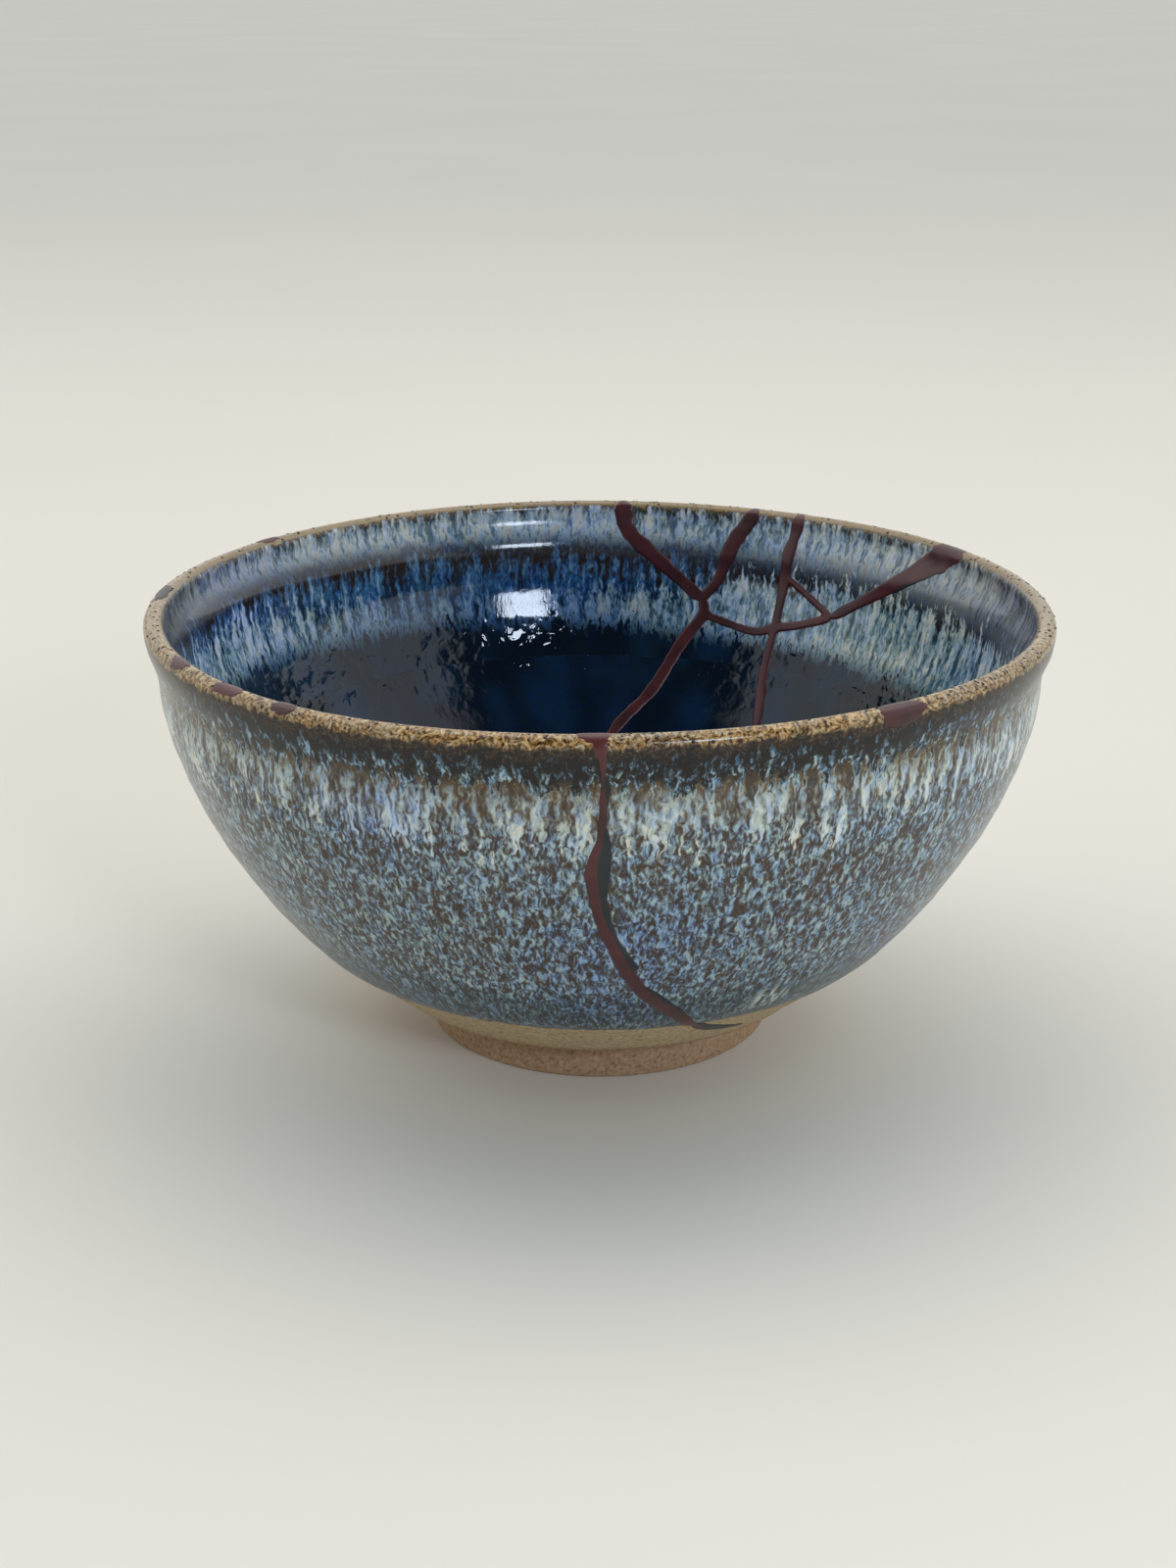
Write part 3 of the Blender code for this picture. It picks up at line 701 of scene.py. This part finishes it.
form = add(lathe, "GeometryNodeRealizeInstances", {"Geometry": form})
form = add(lathe, "GeometryNodeSetMaterial", {"Geometry": form, "Material": values["Clay"]})
add(lathe, "NodeGroupOutput", {"Geometry": form})
apply_tree(bowl, lathe, BOWL_VALUES)

# %% [markdown]
# ## The seams of lacquer
# A mender fills each crack with lacquer and draws a line of it over the crack with a fine brush, so a seam
# is a low, round ribbon that hugs the wall and swells and narrows with the hand. A curve with a bevel would
# stand off the wall, so each ribbon is laid in angles and runs, and its rim of points is carried to the wall
# by the function above. The ribbons and the patches on the lip are then fused into one skin by a fine voxel
# remesh, as wet lacquer flows together.

# %% The routes, as (angle, share of the wall's run, width in mm), negative outside, positive inside
SEAMS = {
    "front": (
        (21.5, -0.876, 0.9), (19, -0.848, 1.4), (15.8, -0.798, 1.9),
        (14, -0.765, 2.2), (9.5, -0.695, 2.4), (6.5, -0.64, 2.35), (4.3, -0.58, 2.2), (2.9, -0.53, 2.0),
        (1.9, -0.49, 1.9), (0.8, -0.44, 1.8), (0, -0.40, 1.7), (-0.4, -0.36, 1.7), (-0.9, -0.30, 1.8),
        (-0.8, -0.275, 1.7), (-0.3, -0.24, 1.25), (0.1, -0.22, 1.1), (0.4, -0.165, 1.15), (0.4, -0.13, 0.9),
        (0.4, -0.10, 0.75), (0.4, -0.08, 0.8),
        (0.3, -0.05, 1.2), (0.1, -0.03, 1.95), (0, 0.0, 2.4), (-0.1, 0.02, 2.0), (0.4, 0.06, 1.3),
        (0.3, 0.15, 1.2), (-0.9, 0.22, 1.6), (0.4, 0.31, 1.5), (5, 0.44, 1.5), (13, 0.58, 1.4),
        (27, 0.74, 1.3), (62, 0.87, 1.3), (120, 0.88, 1.3), (158, 0.80, 1.3),
    ),
    "back left": (
        (176.4, 0.0, 3.4), (176.3, 0.02, 3.5), (175.4, 0.06, 3.0), (171.7, 0.10, 2.8), (163, 0.179, 2.2),
    ),
    "back middle": (
        (155.7, 0.0, 2.9), (155.9, 0.02, 2.8), (158.3, 0.07, 3.1), (160.3, 0.137, 2.0), (163, 0.179, 1.9),
    ),
    "back left lower": (
        (163, 0.179, 2.3), (162.4, 0.205, 2.1), (165.7, 0.263, 2.3), (170.3, 0.354, 2.2), (176.9, 0.43, 2.2),
        (181, 0.52, 1.9), (180, 0.66, 1.7), (158, 0.80, 1.5),
    ),
    "back right": (
        (148, 0.0, 2.6), (148.1, 0.02, 2.6), (148.7, 0.07, 2.4), (149.1, 0.137, 2.0), (149.4, 0.214, 1.6),
        (149.7, 0.30, 1.9), (148.3, 0.392, 1.8), (146, 0.52, 1.7), (148, 0.66, 1.6), (158, 0.80, 1.5),
    ),
    "back cross": (
        (162.4, 0.205, 1.5), (153.6, 0.226, 1.6), (149.4, 0.214, 1.8), (145.1, 0.202, 1.6),
        (139.5, 0.179, 1.6),
    ),
    "back short": ((149, 0.12, 1.4), (145, 0.145, 1.3), (139.5, 0.179, 1.4)),
    "right": (
        (139.5, 0.179, 1.8), (135.3, 0.147, 2.0), (128.8, 0.100, 2.6), (124.4, 0.062, 3.7),
        (121.2, 0.036, 5.3), (119.4, 0.014, 6.6), (119, 0.0, 7.0),
    ),
}
# The back cracks come through the wall, a little narrower outside, and end above the shelf
NARROWER = 0.85
LOWEST_SHARE = -0.78
for name in [name for name in SEAMS if name not in ("front", "back short")]:
    through = [(a, -share * INSIDE_RUN / OUTSIDE_RUN, w * NARROWER) for a, share, w in SEAMS[name]]
    SEAMS[name + " outside"] = tuple(step for step in through if step[1] > LOWEST_SHARE)
print("routes:", len(SEAMS))

# %% Ribbons and patches in angles and runs
ROUTE_SPACING = 0.35 * MM
LEAST_RADIUS = 2 * MM
# The ends taper, and the width swells and narrows by 6% with the hand
END_LENGTH = 0.6
HAND_SPACING = 1.2 * MM
HAND_SWING = 0.06
# It is lower where it is narrower than this, and worn down near the lip
FULL_WIDTH = 1.0 * MM
WORN_SHARE = 0.35
WORN_RUN = 3 * MM
rng = np.random.default_rng(7)


def route_points(route):
    """A route as even steps of (angle, run, width) in degrees and metres, led smoothly through its points."""
    table = np.array([(a, s * (INSIDE_RUN if s > 0 else OUTSIDE_RUN), w * MM) for a, s, w in route])
    steps = []
    for i in range(len(table) - 1):
        before, start, end, after = table[[max(i - 1, 0), i, i + 1, min(i + 2, len(table) - 1)]]
        length = np.linalg.norm(wall(end[0], end[1])[0] - wall(start[0], start[1])[0])
        t = np.linspace(0, 1, max(2, round(length / ROUTE_SPACING)), endpoint=False)[:, None]
        led = 2 * start + (end - before) * t + (2 * before - 5 * start + 4 * end - after) * t**2
        steps.append((led + (3 * start - before - 3 * end + after) * t**3) / 2)
    return np.vstack(steps + [table[-1:]])


def roll_height(run):
    """How far the thick roll of glaze stands out of the wall above the glaze line."""
    above = run + GLAZE_RUN + LINE_WOBBLE / 2
    rise = eased(above, ROLL_FOOT, ROLL_TOP - ROLL_FOOT)
    return ROLL_HEIGHT * rise * (1 - eased(above, ROLL_TOP, ROLL_END - ROLL_TOP))


def ribbon(steps, proud, depth, sides=14):
    """A closed ribbon along a route: rings of points that stand proud of the wall and sink into it."""
    angle, run, width = steps.T
    radius = np.maximum(on_section(run)[0], LEAST_RADIUS)
    go_round = np.gradient(np.radians(angle)) * radius
    go_down = np.gradient(run)
    length = np.hypot(go_round, go_down)
    travelled = np.concatenate([[0], np.cumsum(length[1:])])
    to_end = np.minimum(travelled, travelled[-1] - travelled)
    ends = np.clip(to_end / (width.mean() * END_LENGTH), 0.04, 1)
    marks = np.arange(0, travelled[-1] + 2 * MM, HAND_SPACING)
    hand = np.interp(travelled, marks, rng.normal(1, HAND_SWING, len(marks)))
    half = width / 2 * np.sqrt(1 - (1 - ends) ** 2) * hand
    turn = np.linspace(0, 2 * math.pi, sides, endpoint=False)
    # Full shoulders and a low top, as a film has
    east, north = np.cos(turn), np.sin(turn)
    across = half[:, None] * np.sign(east) * np.abs(east) ** 0.8
    flat = np.sqrt(np.clip(half[:, None] / (FULL_WIDTH / 2), 0, 1))
    worn = proud * np.clip(np.abs(run)[:, None] / WORN_RUN, WORN_SHARE, 1)
    lift = np.where(north > 0, worn, depth) * np.sign(north) * np.abs(north) ** 0.6 * flat
    angles = angle[:, None] - np.degrees(across * (go_down / length)[:, None] / radius[:, None])
    runs = run[:, None] + across * (go_round / length)[:, None]
    points, normals = wall(angles, runs)
    rings = points + normals * (lift + roll_height(runs))[..., None]
    count = len(steps)
    faces = [tuple(range(sides))]
    for i in range(0, (count - 1) * sides, sides):
        for j, k in zip(range(sides), (*range(1, sides), 0)):
            faces.append((i + j, i + sides + j, i + sides + k, i + k))
    faces.append(tuple((count - 1) * sides + j for j in reversed(range(sides))))
    return rings.reshape(-1, 3), faces


def patch(angle, length, low, high, proud, depth, seed, spokes=48, rings=8):
    """A closed pad of lacquer on the lip, from one run to another, with an uneven outline."""
    waves = np.random.default_rng(seed)
    turn = np.linspace(0, 2 * math.pi, spokes, endpoint=False)
    outline = np.ones(spokes)
    for lobes in (2, 3, 5, 8):
        outline += waves.uniform(0.02, 0.10) * np.cos(lobes * turn + waves.uniform(0, 6.28))
    outline /= outline.max()
    share = np.sin(np.linspace(0, math.pi / 2, rings + 1))[1:]
    middle = (low + high) / 2
    points = []
    for side, height in ((1, proud), (-1, depth)):
        for s in share if side > 0 else share[:-1]:
            angles = angle + np.degrees(s * outline * np.cos(turn) * length / 2 / RIM_RADIUS)
            runs = middle + s * outline * np.sin(turn) * (high - low) / 2
            point, normal = wall(angles, runs)
            points.append(point + normal * side * height * math.sqrt(max(0, 1 - s * s)))
        point, normal = wall(np.array([angle]), np.array([middle]))
        points.append(point + normal * side * height)
    starts = np.concatenate([[0], np.cumsum([len(p) for p in points])])
    top, bottom = starts[rings], starts[-2]
    circles = [*starts[:rings], *starts[2 * rings - 1 : rings : -1]]
    faces = [(top, circles[0] + j, circles[0] + (j + 1) % spokes) for j in range(spokes)]
    for a, b in zip(circles, circles[1:]):
        faces += [(a + j, b + j, b + (j + 1) % spokes, a + (j + 1) % spokes) for j in range(spokes)]
    faces += [(circles[-1] + j, bottom, circles[-1] + (j + 1) % spokes) for j in range(spokes)]
    return np.vstack(points), faces


def fused(name, shells, voxel=0.205 * MM):
    """One skin from many closed shells, as wet lacquer flows together."""
    points, faces, count = [], [], 0
    for shell_points, shell_faces in shells:
        points.append(shell_points)
        faces += [tuple(int(v) + count for v in face) for face in shell_faces]
        count += len(shell_points)
    obj = new_mesh(name, np.vstack(points).tolist(), (), faces)
    if voxel:
        remesh = obj.modifiers.new("Fuse", "REMESH")
        remesh.mode = "VOXEL"
        remesh.voxel_size = voxel
        smooth = obj.modifiers.new("Flow", "SMOOTH")
        smooth.factor = 0.5
        smooth.iterations = 4
        made = bpy.data.meshes.new_from_object(obj.evaluated_get(bpy.context.evaluated_depsgraph_get()))
        obj.modifiers.clear()
        obj.data = made
    print_size(obj)
    return obj


# %% The mend, and the fills in the lip's other chips
PROUD = 0.19 * MM
SUNK = 0.45 * MM
shells = [ribbon(route_points(route), PROUD, SUNK) for route in SEAMS.values()]
# (angle, then length, lowest run outside and lowest run inside in mm, share of the height)
LIP_PATCHES = ((-0.6, 5.0, -1.9, 1.6, 0.6), (118.9, 10.0, -1.0, 3.4, 0.5))
for seed, (at, length, low, high, flatter) in enumerate(LIP_PATCHES, 1):
    shells.append(patch(at, length * MM, low * MM, high * MM, flatter * PROUD, SUNK, seed))
mend = fused("lacquer_seams", shells)

# (place, angle, then length, lowest run outside and lowest run inside in mm)
RIM_FILLS = (
    ("front_right", 35.2, 8.7, -3.6, 1.0),
    ("front_left", -37.9, 4.8, -2.3, 1.2),
    ("left_front", -47.8, 6.9, -2.3, 1.3),
    ("left", -60.0, 6.6, -2.0, 1.2),
    ("left_back", -92.5, 10.5, -1.4, 1.3),
    ("back_left", -124.0, 6.3, -1.4, 1.2),
)
FILL_PROUD = 0.14 * MM
FILL_SUNK = 0.6 * MM
FILL_VOXEL = 0.15 * MM
fills = {}
for seed, (side, at, length, low, high) in enumerate(RIM_FILLS, 11):
    pad = patch(at, length * MM, low * MM, high * MM, FILL_PROUD, FILL_SUNK, seed)
    fills[side] = fused("lip_fill_" + side, [pad], FILL_VOXEL)

# %% The black undercoat that shows beside the seams
UNDERCOAT = (
    ((0.5, -0.085, 0.9), (0.7, -0.11, 1.3), (0.7, -0.14, 0.9), (0.6, -0.16, 0.7)),
    ((0.4, -0.19, 0.9), (0.55, -0.23, 1.7), (0.5, -0.27, 2.0), (0.3, -0.31, 1.8), (0.3, -0.36, 1.4)),
    ((0.1, -0.335, 1.2), (0.3, -0.36, 1.5), (0.9, -0.42, 1.6), (2.1, -0.48, 1.7), (4.8, -0.56, 1.9)),
    ((5.8, -0.62, 2.0), (9.3, -0.68, 2.2), (13.4, -0.75, 2.0)),
    ((120.4, 0.052, 0.8), (122.4, 0.066, 1.1), (124.9, 0.082, 1.4), (127.8, 0.103, 1.1), (129.8, 0.115, 0.6)),
    ((17.5, -0.82, 1.7), (21, -0.872, 2.1), (25, -0.905, 2.3), (29.5, -0.928, 1.7), (34.5, -0.945, 0.7)),
)
COAT_PROUD = 0.12 * MM
COAT_SUNK = 0.4 * MM
coats = [ribbon(route_points(route), COAT_PROUD, COAT_SUNK) for route in UNDERCOAT]
undercoat = fused("black_undercoat", coats, 0)

# %% [markdown]
# ## The lacquer
# This is tree lacquer with red iron oxide in it, brushed on and cured in damp air. It dries to a maroon
# satin film, with an IOR near 1.5 and a fine orange peel from the brush. The undercoat below it is the same
# lacquer with lampblack.

# %% Lacquer materials
TONE_PLACES = (0.35, 0.5, 0.65)
LACQUERS = (
    ("Red-brown lacquer", ("#3b171a", "#4b1f23", "#592829"), 0.34, 1.4),
    ("Dark brown lacquer", ("#241a18", "#2e2220", "#3a2b27"), 0.35, 1.4),
    ("Black lacquer undercoat", ("#141a1c", "#1c2427", "#272f31"), 0.4, 1.0),
)
red_lacquer, dark_lacquer, black_lacquer = (
    drifting(name, 6 * MM, 3.0, list(zip(TONE_PLACES, colours)), gloss, peel * MM)
    for name, colours, gloss, peel in LACQUERS
)
mend.data.materials.append(red_lacquer)
undercoat.data.materials.append(black_lacquer)
for side, fill in fills.items():
    fill.data.materials.append(dark_lacquer if side == "left_back" else red_lacquer)

# %% [markdown]
# ## Iron specks on the lip
# Grains of iron in the clay melt through the thin glaze on the lip and stand as small dark blisters. There
# are hundreds of them, none much over half a millimetre wide, so a tree scatters them on the lip's faces,
# with a seed.

# %% The speck tree
IRON_STOPS = list(zip(TONE_PLACES, ("#1c120c", "#2e1d13", "#4a3120")))
iron = drifting("Iron blister in glaze", 2 * MM, 2.0, IRON_STOPS, 0.3)
SPECK_VALUES = {
    "Specks per square metre": 520_000.0,
    "Lowest run": -1.7 * MM,
    "Highest run": 1.1 * MM,
    "Smallest": 0.09 * MM,
    "Largest": 0.28 * MM,
    "Seed": 5,
    "Iron": iron,
}
scatter, given = new_tree("Scatter iron specks", SPECK_VALUES)
values = given.outputs
run_here = add(scatter, ATTRIBUTE, {"Name": "run"})
limits = {"A": run_here, "B": values["Lowest run"]}
over = add(scatter, "FunctionNodeCompare", limits, "GREATER_THAN")
limits["B"] = values["Highest run"]
under = add(scatter, "FunctionNodeCompare", limits, "LESS_THAN")
lip_faces = add(scatter, "FunctionNodeBooleanMath", {0: over, 1: under}, "AND")
seed = values["Seed"]
density = values["Specks per square metre"]
sown = {"Mesh": values["Geometry"], "Selection": lip_faces, "Density": density, "Seed": seed}
seeds = add(scatter, "GeometryNodeDistributePointsOnFaces", sown)
ball = add(scatter, "GeometryNodeMeshIcoSphere", {"Radius": 1.0, "Subdivisions": 1})
flat = add(scatter, "GeometryNodeTransform", {"Geometry": ball.outputs["Mesh"], "Scale": (1.0, 1.0, 0.4)})
sizes = {"Min": values["Smallest"], "Max": values["Largest"], "Seed": seed}
size = add(scatter, "FunctionNodeRandomValue", sizes)
points, _, turns = seeds.outputs[:3]
planting = {"Points": points, "Instance": flat, "Rotation": turns, "Scale": size}
planted = add(scatter, "GeometryNodeInstanceOnPoints", planting)
solid = add(scatter, "GeometryNodeRealizeInstances", {"Geometry": planted})
painted = add(scatter, "GeometryNodeSetMaterial", {"Geometry": solid, "Material": values["Iron"]})
add(scatter, "NodeGroupOutput", {"Geometry": painted})
specks = in_scene("iron_specks", bowl.data.copy())
apply_tree(specks, scatter, SPECK_VALUES)

# %% [markdown]
# ## Pieces to their places
# The kiln's warp is the same for every piece, so the mends stay on the wall. Then each piece rides on the
# bowl's one body, and the imported parts that the pieces replace are hidden.

# %% Warp, ride and replace
for piece in (bowl, specks, mend, undercoat, *fills.values()):
    settle(piece)
    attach(piece, "root")
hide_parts("bowl")
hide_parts("lacquer_mend")
for side, fill in fills.items():
    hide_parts("rim_fill_" + side)

# %% [markdown]
# ## Floor, lights and surroundings
# The bowl stands on pale seamless paper. Glaze shows its surroundings, so the light is chosen by what it
# mirrors: the room is pale all round and dark above the camera, a window stands behind the camera on its
# right, and a large soft light hangs overhead. A strip at the horizon takes the tone of the far paper, so
# that no edge shows behind the bowl from any side.

# %% The paper floor
FLOOR_RADIUS = 14.0
FLOOR_SIDES = 128
ring = np.linspace(0, 2 * math.pi, FLOOR_SIDES, endpoint=False)
floor = new_mesh(
    "paper_floor",
    [(0, 0, 0)] + [(FLOOR_RADIUS * math.cos(a), FLOOR_RADIUS * math.sin(a), 0) for a in ring],
    (),
    [(0, 1 + i, 1 + (i + 1) % FLOOR_SIDES) for i in range(FLOOR_SIDES)],
)
paper = drifting("Pale seamless paper", 0.25, 2.0, ((0.3, "#e3dfd4"), (0.7, "#e6e2d7")), 0.9)
floor.data.materials.append(paper)

# %% The surroundings
ABOVE_CAMERA = (0.0, -0.80, 0.60)
ROOM_STRENGTH = 1.44
world = bpy.data.worlds.new("room")
world.use_nodes = True
bpy.context.scene.world = world
sky = world.node_tree
background = next(n for n in sky.nodes if n.type == "BACKGROUND")
towards = add(sky, "ShaderNodeTexCoord").outputs["Generated"]
facing = add(sky, "ShaderNodeVectorMath", {0: towards, 1: ABOVE_CAMERA}, "DOT_PRODUCT")
up = add(sky, "ShaderNodeSeparateXYZ", {"Vector": towards}).outputs["Z"]
room = linear("#dfe0dd")
# (measure, where it starts, where it ends, colour beyond it, kind of step)
ROOM_PARTS = (
    (up, 0.15, 0.75, "#d6dbe1", "LINEAR"),
    (facing.outputs["Value"], 0.62, 0.78, "#26282a", "SMOOTHSTEP"),
    (up, 0.14, 0.04, "#a8a8a1", "SMOOTHSTEP"),
)
for measure, start, end, tone, kind in ROOM_PARTS:
    limits = {"Value": measure, "From Min": start, "From Max": end}
    there = add(sky, RANGE, limits, interpolation_type=kind)
    room = add(sky, MIX, {0: there, "A": room, "B": linear(tone)}, data_type="RGBA")
sky.links.new(first_output(room), background.inputs["Color"])
background.inputs["Strength"].default_value = ROOM_STRENGTH

# %% The window behind the camera, and the soft light overhead
# (name, where it stands, where it points, size, watts, colour)
LAMPS = (
    ("window", (0.283, -0.622, 0.352), (-0.013, 0.058, 0.048), (0.17, 0.12), 1.65, "#dceafd"),
    ("overhead", (0, 0.27, 0.8), (0, 0.10, 0), (1.3, 0.5), 2.5, "#fff6e8"),
)
for name, stand, aim, size, watts, colour in LAMPS:
    light = bpy.data.lights.new(name, "AREA")
    light.shape = "RECTANGLE"
    light.size, light.size_y = size
    light.energy = watts
    light.color = linear(colour)[:3]
    lamp = in_scene(name, light)
    lamp.location = stand
    lamp.rotation_euler = (Vector(aim) - Vector(stand)).to_track_quat("-Z", "Y").to_euler()
